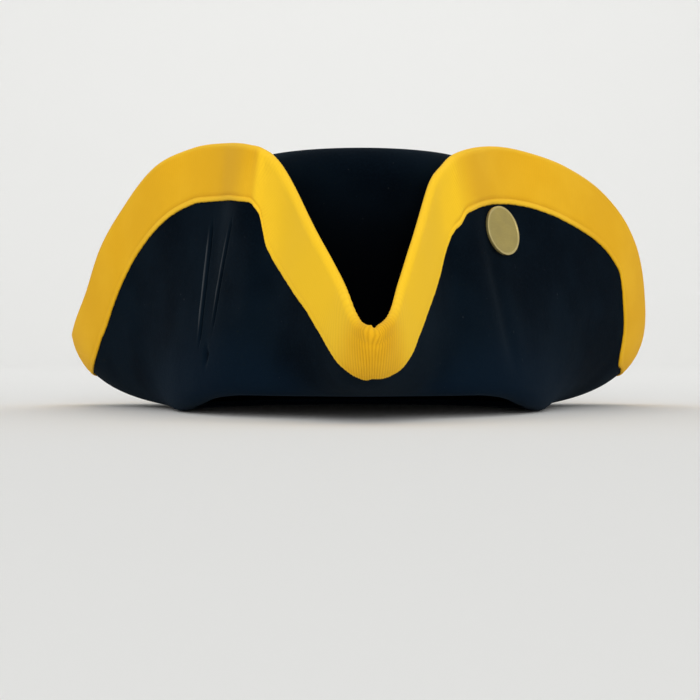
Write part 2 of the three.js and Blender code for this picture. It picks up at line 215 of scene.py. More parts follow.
@dataclass
class HatBlock:
    """The sizes that the felt is moulded to, and the surface in the middle of the felt that they give."""

    middle: Vector
    head_length: float = 202 * MM
    head_width: float = 168 * MM
    crown_height: float = 132 * MM
    crown_taper: float = 14 * MM
    taper_power: float = 1.3
    shoulder_radius: float = 22 * MM
    tip_dome: float = 5 * MM
    brim_width: float = 118 * MM
    felt: float = 2 * MM
    fold_flat: float = 5 * MM
    fold_radius: float = 3 * MM
    front_lift: float = 10 * MM
    clearance: float = 0.3 * MM
    steepest_slant: float = 0.6
    reliefs: tuple[Relief, ...] = ()
    trim_blur: float = 0.09
    trim_fade: float = 0.2
    aside: float = 0.05
    columns: dict[str, np.ndarray] = field(init=False)
    trims: dict[str, np.ndarray] = field(init=False)

    def __post_init__(self) -> None:
        """Turns the two tables into one array for each column."""
        self.columns = {
            name: np.array([row[at] for row in SECTIONS], float)
            for at, name in enumerate(COLUMNS)
            if name != "place"
        }
        table = np.array(TRIM)
        step = 0.02
        fine = np.arange(0, self.count, step)
        self.trims = {"place": fine}
        for at, name in enumerate(TRIM_COLUMNS[1:], start=1):
            plain = np.interp(fine, table[:, 0], table[:, at], period=self.count)
            self.trims[name] = eased_round(plain, 20, self.trim_blur / step) * MM

    @property
    def count(self) -> int:
        """The number of sections round the brim."""
        return len(SECTIONS)

    def column(self, name: str, place: np.ndarray) -> np.ndarray:
        """Reads one column of the table between its rows.

        Args:
            name: the column.
            place: places round the brim, in sections from the front point.

        Returns:
            The smoothed value at each place.
        """
        values = self.columns[name]
        index = np.floor(place).astype(int)
        share = place - index

        def at(step: int) -> np.ndarray:
            laps = (index + step) // self.count
            turn = 360.0 * laps if name == "turn" else 0.0
            return values[index + step - laps * self.count] + turn

        before, start, end, after = at(-1), at(0), at(1), at(2)
        leaving, arriving = (end - before) / 2, (after - start) / 2
        bend = 3 * (end - start) - 2 * leaving - arriving
        twist = leaving + arriving - 2 * (end - start)
        return start + share * (leaving + share * (bend + share * twist))

    def trim(self, name: str, place: np.ndarray) -> np.ndarray:
        """Reads one column of the table of trims, in metres."""
        return np.interp(place, self.trims["place"], self.trims[name], period=self.count)

    def from_front(self, place: np.ndarray) -> np.ndarray:
        """Counts the sections from the front point, below 0 on the wearer's right."""
        return (place + self.count / 2) % self.count - self.count / 2

    def oval(self, turn: np.ndarray, grow: np.ndarray | float) -> np.ndarray:
        """Gives points of the oval round the head opening.

        Args:
            turn: angles from the front, in degrees.
            grow: how much wider than the opening the oval is, on every side.

        Returns:
            One point at height 0 for each angle.
        """
        angle = np.radians(turn)
        across = (self.head_width / 2 + grow) * np.sin(angle)
        along = -(self.head_length / 2 + grow) * np.cos(angle)
        return np.stack([across, along, np.zeros_like(across)], -1)

    def outwards(self, turn: np.ndarray, grow: float) -> np.ndarray:
        """Gives the level direction that faces away from the oval at each angle."""
        angle = np.radians(turn)
        across = np.sin(angle) / (self.head_width / 2 + grow)
        along = -np.cos(angle) / (self.head_length / 2 + grow)
        return unit(np.stack([across, along, np.zeros_like(across)], -1))

    def fold_height(self, place: np.ndarray) -> np.ndarray:
        """Gives the height of the fold above the ground at each place."""
        return self.front_lift * np.maximum(0, self.column("lift", place))

    def foot(self, place: np.ndarray) -> tuple[np.ndarray, np.ndarray]:
        """Finds where the brim leaves the crown.

        Args:
            place: places round the brim.

        Returns:
            The foot of the brim and the outward direction at each place.
        """
        turn = self.column("turn", place)
        grow = self.felt + self.clearance
        foot = self.oval(turn, grow)
        foot[:, 2] = self.fold_height(place) + self.felt / 2
        return foot, self.outwards(turn, grow)

    def handles(self, place: np.ndarray) -> list[np.ndarray]:
        """Gives the four control points of the felt's curve at each place, from the fold to the edge."""
        foot, out = self.foot(place)
        side = np.stack([-out[:, 1], out[:, 0], np.zeros(len(place))], -1)
        value = {name: self.column(name, place) for name in ("out", "slide", "up", "bow", "curl", "rise")}

        def at(*steps: np.ndarray | float) -> np.ndarray:
            reach, slide, up = (np.broadcast_to(step, place.shape)[:, None] for step in steps)
            return foot + self.brim_width * (reach * out + slide * side + up * np.array([0, 0, 1.0]))

        flat = self.fold_flat / self.brim_width
        rise = np.radians(value["rise"])
        back, down = value["curl"] * np.cos(rise), value["curl"] * np.sin(rise)
        return [
            at(flat, 0, 0),
            at(flat + value["bow"], 0, 0),
            at(value["out"] - back, 0, value["up"] - down),
            at(value["out"], value["slide"], value["up"]),
        ]

    def lengths(self, place: np.ndarray, steps: int = 80) -> tuple[np.ndarray, np.ndarray]:
        """Measures the felt's curve from the edge down.

        Args:
            place: places round the brim.
            steps: how many chords the curve is measured with.

        Returns:
            The curve's parameter at each chord's end, and the length so far for each place.
        """
        t = np.linspace(1, 0, steps + 1)
        points = bezier(self.handles(place), t[:, None])
        chords = np.linalg.norm(np.diff(points, axis=0), axis=2)
        return t, np.concatenate([np.zeros((1, len(place))), np.cumsum(chords, axis=0)])

    def sheet(self, place: np.ndarray, depth: np.ndarray) -> np.ndarray:
        """Finds points in the middle of the plain felt.

        Args:
            place: places round the brim.
            depth: for each row, the share of the way from the edge to the fold at each place.

        Returns:
            One point for each row and place.
        """
        t, length = self.lengths(place)
        share = length / length[-1]
        depth = depth + self.trim("trimmed", place) / length[-1] * (1 - smooth(depth / self.trim_fade))
        clipped = np.clip(depth, 0, 1)
        curve = np.stack([np.interp(clipped[:, n], share[:, n], t) for n in range(len(place))], 1)
        return bezier(self.handles(place), curve)

    def facing(self, place: np.ndarray, depth: np.ndarray) -> np.ndarray:
        """Gives the direction that faces away from the crown at each row and place."""
        aside, down = 0.04, 0.008
        around = self.sheet(place + aside, depth) - self.sheet(place - aside, depth)
        inwards = self.sheet(place, depth + down) - self.sheet(place, depth - down)
        return -unit(np.cross(around, inwards))

    def relief(self, place: np.ndarray, depth: np.ndarray) -> tuple[np.ndarray, np.ndarray]:
        """Adds up the dents and ridges of the brim.

        Args:
            place: places round the brim.
            depth: for each row, the share of the way from the edge to the fold at each place.

        Returns:
            How far they stand out, in metres, and the light and shade painted along them, at each row and
            place.
        """
        around = self.sheet(place + self.aside, depth) - self.sheet(place - self.aside, depth)
        pace = np.linalg.norm(around, axis=2) / (2 * self.aside)
        total, pale = np.zeros_like(depth), np.zeros_like(depth)
        for dent in self.reliefs:
            along = (depth - dent.top) / (dent.foot - dent.top)
            centre = dent.top_place + (dent.foot_place - dent.top_place) * np.clip(along, 0, 1)
            off_centre = self.from_front(place - centre)
            ends = smooth(along / dent.fade) * smooth((1 - along) / dent.fade)
            shape = ends * np.exp(-((off_centre * pace / dent.width) ** 2))
            total += dent.height * shape
            pale += dent.painted_light * shape
        return total, pale

    def felt_middle(self, place: np.ndarray, depth: np.ndarray) -> tuple[np.ndarray, np.ndarray]:
        """Finds the middle of the felt with its dents and ridges.

        Args:
            place: places round the brim.
            depth: for each row, the share of the way from the edge to the fold at each place.

        Returns:
            The points, and the direction that faces away from the crown at each.
        """
        facing = self.facing(place, depth)
        return self.sheet(place, depth) + facing * self.relief(place, depth)[0][..., None], facing

    def covered(self, place: np.ndarray, width: float, side: Side = Side.OUTER) -> np.ndarray:
        """Works out how far down the felt a band reaches that is measured square to the edge.

        Args:
            place: places round the brim.
            width: the band's width.
            side: the face of the brim. The table's extra width is on the outer one.

        Returns:
            The share of the way from the edge to the fold that it covers at each place.
        """
        ahead = self.handles(place + self.aside)[3]
        behind = self.handles(place - self.aside)[3]
        last = self.handles(place)
        across = unit(last[3] - last[2])
        slant = np.linalg.norm(np.cross(unit(ahead - behind), across), axis=1)
        length = self.lengths(place)[1][-1]
        wider = self.trim("wider", place) if side is Side.OUTER else 0
        return (width + wider) / np.maximum(self.steepest_slant, slant) / length


def unit(vectors: np.ndarray) -> np.ndarray:
    """Scales each vector to length 1."""
    return vectors / np.maximum(np.linalg.norm(vectors, axis=-1, keepdims=True), 1e-12)


def smooth(share: np.ndarray | float) -> np.ndarray:
    """Eases from 0 to 1 as the share goes from 0 to 1."""
    clipped = np.clip(share, 0, 1)
    return clipped * clipped * (3 - 2 * clipped)


def eased_round(values: np.ndarray, reach: int, width: float) -> np.ndarray:
    """Evens out values that run round a loop, each over this many neighbours on both sides."""
    steps = range(-reach, reach + 1)
    weights = [math.exp(-((step / width) ** 2)) for step in steps]
    return sum(weight * np.roll(values, step) for weight, step in zip(weights, steps)) / sum(weights)


def bezier(handles: list[np.ndarray], t: np.ndarray) -> np.ndarray:
    """Reads cubic curves.

    Args:
        handles: the four control points of each curve.
        t: the parameters, one row for each point and one column for each curve, or for all.

    Returns:
        One point for each row and curve.
    """
    t = t[..., None]
    a, b, c, d = handles
    return a * (1 - t) ** 3 + 3 * b * t * (1 - t) ** 2 + 3 * c * t * t * (1 - t) + d * t**3


def take(piece: bpy.types.Object) -> None:
    """Selects this piece alone and makes it the active one."""
    bpy.ops.object.select_all(action="DESELECT")
    piece.select_set(True)
    bpy.context.view_layer.objects.active = piece


def coordinates(piece: bpy.types.Object) -> np.ndarray:
    """Reads the places of a piece's vertices."""
    values = np.empty(len(piece.data.vertices) * 3)
    piece.data.vertices.foreach_get("co", values)
    return values.reshape(-1, 3)


def move_vertices(piece: bpy.types.Object, places: np.ndarray) -> None:
    """Puts each vertex of a piece at its own new place."""
    piece.data.vertices.foreach_set("co", places.astype(np.float32).ravel())
    piece.data.update()


def mark_points(piece: bpy.types.Object, name: str, values: np.ndarray) -> None:
    """Stores one named value at each vertex, for the piece's finish to read."""
    marks = piece.data.attributes.new(name, "FLOAT", "POINT")
    marks.data.foreach_set("value", values.astype(np.float32))


def edit_chosen(piece: bpy.types.Object, kind: str, chosen: np.ndarray) -> None:
    """Opens a piece for editing with only some of its parts selected.

    Args:
        piece: the piece.
        kind: VERT, EDGE or FACE.
        chosen: whether each part of that kind is selected.
    """
    parts = {"VERT": piece.data.vertices, "EDGE": piece.data.edges, "FACE": piece.data.polygons}[kind]
    take(piece)
    bpy.ops.object.mode_set(mode="EDIT")
    bpy.ops.mesh.select_mode(type=kind)
    bpy.ops.mesh.select_all(action="DESELECT")
    bpy.ops.object.mode_set(mode="OBJECT")
    parts.foreach_set("select", np.asarray(chosen, bool))
    bpy.ops.object.mode_set(mode="EDIT")


def apply_all(piece: bpy.types.Object) -> None:
    """Applies every modifier of a piece, from the top."""
    take(piece)
    for modifier in list(piece.modifiers):
        bpy.ops.object.modifier_apply(modifier=modifier.name)


def close_up(piece: bpy.types.Object, distance: float) -> None:
    """Merges the vertices of a piece that lie closer than this, and turns its faces outwards."""
    take(piece)
    bpy.ops.object.mode_set(mode="EDIT")
    bpy.ops.mesh.select_all(action="SELECT")
    bpy.ops.mesh.remove_doubles(threshold=distance)
    bpy.ops.mesh.normals_make_consistent(inside=False)
    bpy.ops.object.mode_set(mode="OBJECT")


def settle(piece: bpy.types.Object, node_names: tuple[str, ...]) -> None:
    """Lets a finished piece ride with the hat in place of its solids.

    Args:
        piece: the finished piece.
        node_names: the solids that it stands for.
    """
    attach(piece, "root")
    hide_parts(*node_names)
    LOG.info("%s: %d vertices, %d faces", piece.name, len(piece.data.vertices), len(piece.data.polygons))


class Wiring:
    """A material being wired: one principled shader and the nodes that feed it."""

    def __init__(self, name: str) -> None:
        """Starts a material with an output and a principled shader.

        Args:
            name: the material's name.
        """
        self.material = bpy.data.materials.new(name)
        self.material.use_nodes = True
        self.tree = self.material.node_tree
        self.tree.nodes.clear()
        self.surface = self.add("ShaderNodeBsdfPrincipled")
        output = self.add("ShaderNodeOutputMaterial")
        self.tree.links.new(self.surface.outputs["BSDF"], output.inputs["Surface"])
        self.object_place = self.add("ShaderNodeTexCoord").outputs["Object"]

    def add(self, kind: str, **values: object) -> bpy.types.Node:
        """Adds a node.

        Args:
            kind: the node's type.
            values: its sockets' values by name, with _ for a blank, or its settings in small letters.

        Returns:
            The node.
        """
        node = self.tree.nodes.new(kind)
        for name, value in values.items():
            socket = node.inputs.get(name.replace("_", " "))
            if socket is None:
                setattr(node, name, value)
            elif isinstance(value, bpy.types.NodeSocket):
                self.tree.links.new(value, socket)
            else:
                socket.default_value = value
        return node

    def mark(self, name: str) -> bpy.types.NodeSocket:
        """Reads a value that is stored at the piece's vertices."""
        return self.add("ShaderNodeAttribute", attribute_name=name).outputs["Fac"]

    def noise(
        self, scale: float, detail: float = 3.0, stretch: tuple[float, float, float] = (1, 1, 1)
    ) -> bpy.types.NodeSocket:
        """Makes noise that is fixed to the hat.

        Args:
            scale: how many grains there are in a metre.
            detail: how many finer layers it has.
            stretch: the scale along each axis.

        Returns:
            The noise, from 0 to 1.
        """
        place = self.add("ShaderNodeMapping", Vector=self.object_place, Scale=stretch).outputs["Vector"]
        return self.add("ShaderNodeTexNoise", Vector=place, Scale=scale, Detail=detail).outputs["Fac"]

    def between(
        self, value: bpy.types.NodeSocket, low: float, high: float, top: float = 1.0, foot: float = 0.0
    ) -> bpy.types.NodeSocket:
        """Stretches the part of a value between low and high to run from foot to top."""
        node = self.add("ShaderNodeMapRange", Value=value, interpolation_type="SMOOTHSTEP")
        node.inputs["From Min"].default_value = low
        node.inputs["From Max"].default_value = high
        node.inputs["To Min"].default_value = foot
        node.inputs["To Max"].default_value = top
        return node.outputs["Result"]

    def mix(self, share: bpy.types.NodeSocket, first: object, second: object) -> bpy.types.NodeSocket:
        """Mixes two colours.

        Args:
            share: how much of the second one shows.
            first: a colour or a socket.
            second: a colour or a socket.

        Returns:
            The mixed colour.
        """
        node = self.add("ShaderNodeMix", data_type="RGBA")
        for socket, value in ((node.inputs[6], first), (node.inputs[7], second)):
            if isinstance(value, bpy.types.NodeSocket):
                self.tree.links.new(value, socket)
            else:
                socket.default_value = (*value, 1)
        self.tree.links.new(share, node.inputs[0])
        return node.outputs[2]

    def bump(
        self, height: bpy.types.NodeSocket, depth: float, strength: float, under: object = None
    ) -> bpy.types.NodeSocket:
        """Raises a fine relief.

        Args:
            height: the relief, from 0 to 1.
            depth: its depth in metres.
            strength: how much of it shows.
            under: a coarser bump that it lies on.

        Returns:
            The normal.
        """
        node = self.add("ShaderNodeBump", Height=height, Distance=depth, Strength=strength)
        if under is not None:
            self.tree.links.new(under, node.inputs["Normal"])
        return node.outputs["Normal"]

    def feed(self, name: str, value: bpy.types.NodeSocket) -> None:
        """Feeds one input of the shader."""
        self.tree.links.new(value, self.surface.inputs[name])

    def settings(self, **values: object) -> None:
        """Sets the shader's own sockets, with _ for a blank."""
        for name, value in values.items():
            self.surface.inputs[name.replace("_", " ")].default_value = value


@dataclass(frozen=True)
class FeltFinish:
    """Blue-black wool felt with a short velvety nap, a few specks of lint, and painted light and shade."""

    deep: tuple[float, float, float] = (0.0012, 0.0033, 0.0064)
    light: tuple[float, float, float] = (0.0028, 0.0070, 0.0124)
    lint: tuple[float, float, float] = (0.03, 0.035, 0.04)
    # Painted highlight on the ridges, painted shade in the creases and down the crown's wall, painted
    # bounce light low on the brim.
    painted_highlight: tuple[float, float, float] = (0.055, 0.062, 0.07)
    painted_shade: tuple[float, float, float] = (0.0002, 0.0003, 0.0006)
    painted_bounce_light: tuple[float, float, float] = (0.0034, 0.0098, 0.0200)
    sheen: tuple[float, float, float] = (0.45, 0.62, 0.8)

    def material(self) -> bpy.types.Material:
        """Builds the material."""
        felt = Wiring("blue_black_felt")
        cloud = felt.between(felt.noise(22, 2), 0.35, 0.65)
        fibres = felt.between(felt.noise(900, 4), 0.3, 0.7)
        tone = felt.mix(cloud, self.deep, self.light)
        mottled = felt.mix(felt.between(fibres, 0.2, 1.0, 0.35), tone, self.light)
        specks = felt.between(felt.noise(420, 1), 0.77, 0.82, 0.5)
        # Painted shade in the creases, the dimple and down the crown's wall, and painted highlight on the
        # ridges.
        painted_light = felt.mark("painted_light")
        # Painted bounce light: lighter low on the brim and round the fold.
        low = felt.mix(felt.between(felt.mark("painted_bounce_light"), 0, 1, 0.8), mottled, self.painted_bounce_light)
        painted_shade = felt.mix(felt.between(painted_light, -1, 0, 0, 1), felt.mix(specks, low, self.lint), self.painted_shade)
        felt.feed("Base Color", felt.mix(felt.between(painted_light, 0, 1), painted_shade, self.painted_highlight))
        soft = felt.bump(felt.noise(240, 2), 0.5 * MM, 0.25)
        felt.feed("Normal", felt.bump(felt.noise(1900, 5), 0.25 * MM, 0.4, soft))
        felt.settings(Roughness=0.95, Sheen_Weight=0.03, Sheen_Roughness=0.4, Sheen_Tint=(*self.sheen, 1))
        felt.settings(Specular_IOR_Level=0.015)
        return felt.material


@dataclass(frozen=True)
class BandFinish:
    """Warm yellow ribbed ribbon, matt, with painted shade between its ribs and painted light on its legs
    and lip.
    """

    crest: tuple[float, float, float] = (0.80, 0.425, 0.008)
    lit_leg_tone: tuple[float, float, float] = (0.94, 0.575, 0.016)
    shaded_valley: tuple[float, float, float] = (0.60, 0.29, 0.004)
    worn_and_highlight: tuple[float, float, float] = (0.94, 0.57, 0.030)
    sheen: tuple[float, float, float] = (1.0, 0.8, 0.3)

    def material(self) -> bpy.types.Material:
        """Builds the material."""
        band = Wiring("yellow_ribbed_band")
        # Painted light: the front legs are painted lighter and more lemon than the rest of the band.
        plain = band.mix(band.mark("painted_leg_light"), self.crest, self.lit_leg_tone)
        # Painted shade in the valleys between the ribs and in the groove beside the lip.
        shaded_ribs = band.mix(band.mark("painted_rib_shade"), self.shaded_valley, plain)
        cloud = band.between(band.noise(35, 3), 0.4, 0.75, 0.25)
        clouded = band.mix(cloud, shaded_ribs, self.worn_and_highlight)
        # Painted highlight: the lip and the folded edge are painted paler; the same pale tone also mottles
        # the band.
        band.feed("Base Color", band.mix(band.between(band.mark("lip_highlight"), 0, 1, 0.7), clouded, self.worn_and_highlight))
        band.feed("Normal", band.bump(band.noise(2600, 3), 0.12 * MM, 0.35))
        band.settings(Roughness=0.78, Sheen_Weight=0.05, Sheen_Roughness=0.5, Sheen_Tint=(*self.sheen, 1))
        band.settings(Specular_IOR_Level=0.14)
        return band.material


@dataclass(frozen=True)
class BrassFinish:
    """Dull brushed brass, with a painted highlight on its raised rim."""

    metal: tuple[float, float, float] = (0.45, 0.36, 0.12)
    tarnish: tuple[float, float, float] = (0.42, 0.338, 0.117)
    rim_highlight_tone: tuple[float, float, float] = (0.56, 0.465, 0.2)

    def material(self) -> bpy.types.Material:
        """Builds the material."""
        brass = Wiring("dull_brushed_brass")
        cloud = brass.between(brass.noise(180, 3), 0.35, 0.7)
        dull = brass.mix(cloud, self.metal, self.tarnish)
        # Painted highlight on the raised rim.
        brass.feed("Base Color", brass.mix(brass.mark("painted_rim_highlight"), dull, self.rim_highlight_tone))
        lines = brass.noise(300, 2, (1, 1, 16))
        brass.feed("Roughness", brass.between(lines, 0.2, 0.8, 0.6, 0.46))
        brass.feed("Normal", brass.bump(lines, 0.03 * MM, 0.12))
        brass.settings(Metallic=0.85, Anisotropic=0.3)
        return brass.material


@dataclass(frozen=True)
class PaperFinish:
    """Plain pale studio paper, for the floor and the wall behind it."""

    tone: tuple[float, float, float] = (0.84, 0.84, 0.83)
    cloud: tuple[float, float, float] = (0.74, 0.74, 0.73)

    def material(self) -> bpy.types.Material:
        """Builds the material."""
        paper = Wiring("studio_paper")
        faint = paper.between(paper.noise(3, 2), 0.3, 0.7, 0.03)
        paper.feed("Base Color", paper.mix(faint, self.tone, self.cloud))
        paper.settings(Roughness=0.95, Specular_IOR_Level=0.1)
        return paper.material


@dataclass
class FeltBody:
    """The moulded blank: a domed crown, a rounded fold, and the brim turned up from it."""

    block: HatBlock
    samples: int = 4001
    places_per_section: int = 9
    extra_at_reliefs: int = 30
    brim_rows: int = 42
    fold_rows: int = 7
    wall_rows: int = 14
    shoulder_rows: int = 9
    tip_rows: int = 9
    tip_roundness: float = 1.25
    # The painted shade down the crown's wall: how dark it gets, and over what share of the wall it deepens.
    crown_shade: float = 0.92
    crown_shade_reach: float = 0.7
    # Where the painted bounce light low on the brim starts, as a share of the way from the edge to the
    # fold.
    bounce_light_start: float = 0.6
    finish: FeltFinish = FeltFinish()

    def places(self) -> np.ndarray:
        """Spreads the columns of the mesh round the brim, closer together at the dents."""
        fine = np.linspace(0, self.block.count, self.samples)
        extra = np.exp(-((self.block.from_front(fine) / 2) ** 4)) / 2
        for dent in self.block.reliefs:
            centre = (dent.top_place + dent.foot_place) / 2
            aside = self.block.from_front(fine - centre)
            spread = 0.3 + abs(dent.top_place - dent.foot_place) / 2
            extra = np.maximum(extra, np.exp(-((aside / spread) ** 4)))
        density = self.places_per_section + self.extra_at_reliefs * extra
        total = np.concatenate([[0], np.cumsum((density[1:] + density[:-1]) / 2 * np.diff(fine))])
        wanted = np.linspace(0, total[-1], int(total[-1]) + 1)[:-1]
        return np.interp(wanted, total, fine)

    def crown_lines(self, place: np.ndarray) -> list[np.ndarray]:
        """Gives the rings of the crown, from near the middle of its tip down to the fold."""
        block = self.block
        turn = block.column("turn", place)
        rim = block.fold_height(place)
        radius = block.shoulder_radius - block.felt / 2
        top = block.crown_height - block.tip_dome - block.felt / 2
        shoulder = top - radius
        lines = []
        for row in range(1, self.tip_rows + 1):
            reach = row / (self.tip_rows + 1)
            ring = block.oval(turn, block.felt / 2 - block.crown_taper - radius) * reach
            ring[:, 2] = top + block.tip_dome * (1 - reach**2) ** self.tip_roundness
            lines.append(ring)
        for row in range(self.shoulder_rows + 1):
            bend = math.pi / 2 * (1 - row / self.shoulder_rows)
            inset = block.crown_taper + radius * (1 - math.cos(bend))
            ring = block.oval(turn, block.felt / 2 - inset)
            ring[:, 2] = shoulder + radius * math.sin(bend)
            lines.append(ring)
        lowest = (block.felt / 2 + block.fold_radius) / shoulder
        for row in range(1, self.wall_rows + 1):
            share = 1 - (1 - lowest) * row / self.wall_rows
            ring = block.oval(turn, block.felt / 2 - block.crown_taper * share**block.taper_power)
            ring[:, 2] = rim + (shoulder - rim) * share
            lines.append(ring)
        return lines

    def fold_lines(self, place: np.ndarray) -> list[np.ndarray]:
        """Gives the rows round the fold, from the crown's wall out to the level strip of the brim."""
        block = self.block
        foot, out = block.foot(place)
        wall = -block.felt / 2 - block.clearance
        lines = []
        for row in range(1, self.fold_rows + 1):
            bend = math.pi / 2 * row / self.fold_rows
            reach = wall + block.fold_radius * (1 - math.cos(bend))
            raised = block.fold_radius * (1 - math.sin(bend))
            lines.append(foot + reach * out + raised * np.array([0, 0, 1.0]))
        middle = (wall + block.fold_radius + block.fold_flat) / 2
        lines.append(foot + middle * out)
        return lines

    def build(self) -> bpy.types.Object:
        """Shapes a ball into the felt's middle surface and gives it its thickness.

        Returns:
            The felt body.
        """
        place = self.places()
        depth = np.linspace(1, 0, self.brim_rows)[:, None] * np.ones(len(place))
        brim = self.block.sheet(place, depth)
        lines = self.crown_lines(place) + self.fold_lines(place) + list(brim)
        height, pale = self.block.relief(place, depth)
        dents = np.zeros((len(lines), len(place), 3))
        dents[-self.brim_rows :] = self.block.facing(place, depth) * height[..., None]
        tip = [0, 0, self.block.crown_height - self.block.felt / 2]
        bpy.ops.mesh.primitive_uv_sphere_add(segments=len(place), ring_count=len(lines) + 1, radius=1)
        body = bpy.context.object
        body.name = body.data.name = "felt_body"
        ball = coordinates(body)
        around = np.arctan2(ball[:, 1], ball[:, 0]) / math.tau * len(place)
        down = np.arccos(np.clip(ball[:, 2], -1, 1)) / math.pi * (len(lines) + 1)
        column = np.rint(around).astype(int) % len(place)
        row = np.rint(down).astype(int) - 1
        known = np.clip(row, 0, len(lines) - 1)
        shaped = np.array(lines)[known, column]
        shaped[row < 0] = tip
        move_vertices(body, shaped + np.array(self.block.middle))
        for name, values in self.shades(pale, depth, len(lines)).items():
            mark_points(body, name, values[known, column])
        moves = body.data.attributes.new("dents", "FLOAT_VECTOR", "POINT")
        moves.data.foreach_set("vector", dents[known, column].astype(np.float32).ravel())
        edit_chosen(body, "VERT", row >= len(lines))
        bpy.ops.mesh.delete(type="VERT")
        bpy.ops.object.mode_set(mode="OBJECT")
        thickness = body.modifiers.new("felt thickness", "SOLIDIFY")
        thickness.thickness = self.block.felt
        thickness.offset = 0
        thickness.use_quality_normals = True
        apply_all(body)
        self.press_dents(body)
        bpy.ops.object.shade_smooth()
        return body

    def press_dents(self, body: bpy.types.Object) -> None:
        """Moves both faces of the felt alike where it is dented, so that its wall keeps its thickness."""
        moves = body.data.attributes["dents"]
        shifts = np.empty(len(body.data.vertices) * 3, np.float32)
        moves.data.foreach_get("vector", shifts)
        move_vertices(body, coordinates(body) + shifts.reshape(-1, 3))
        body.data.attributes.remove(moves)

    def shades(self, pale: np.ndarray, depth: np.ndarray, count: int) -> dict[str, np.ndarray]:
        """Works out where light and shade are painted on the felt.

        Args:
            pale: the light and shade painted along the dents and ridges, at each row and column of the
                brim.
            depth: the share of the way from the edge to the fold, at each of them.
            count: how many rows the felt has in all.

        Returns:
            The painted light and shade, from -1 for painted shade to 1 for a painted highlight, and the
            painted bounce light low on the brim.
        """
        painted_light, painted_bounce_light = np.zeros((2, count, pale.shape[1]))
        # Painted shade down the crown's wall, inside the turned-up brim.
        shaded_rows = self.shoulder_rows + 1 + self.wall_rows
        share = np.arange(shaded_rows) / shaded_rows
        painted_light[self.tip_rows :][:shaded_rows] = -self.crown_shade * smooth(share / self.crown_shade_reach)[:, None]
        # The brim's painted light and shade follow its dents and ridges.
        painted_light[-self.brim_rows :] = np.clip(pale, -1, 1)
        # Painted bounce light, lighter low on the brim and all round the fold.
        painted_bounce_light[-self.brim_rows :] = smooth((depth - self.bounce_light_start) / (1 - self.bounce_light_start))
        painted_bounce_light[-self.brim_rows - self.fold_rows - 1 : -self.brim_rows] = 1
        return {"painted_light": painted_light, "painted_bounce_light": painted_bounce_light}

    def dress(self, body: bpy.types.Object) -> None:
        """Gives the felt its finish and its place in the hat."""
        body.data.materials.append(self.finish.material())
        settle(body, ("crown", "brim"))


@dataclass(frozen=True)
class BandRow:
    """One row of the band's cross-section.

    across is the distance from the band's inner edge, height the height above the felt, and beyond how
    far it lies past the brim's edge. The last four fields say how strongly the ribs with the painted shade
    in their valleys, the painted highlight on the lip and over the folded edge, the painted shade in the
    groove and the crimp at the front point show there.
    """

    across: float
    height: float
    side: Side = Side.OUTER
    beyond: float = 0.0
    ribs: float = 1.0
    lip_highlight: float = 0.0
    shade: float = 0.0
    pinch: float = 0.0


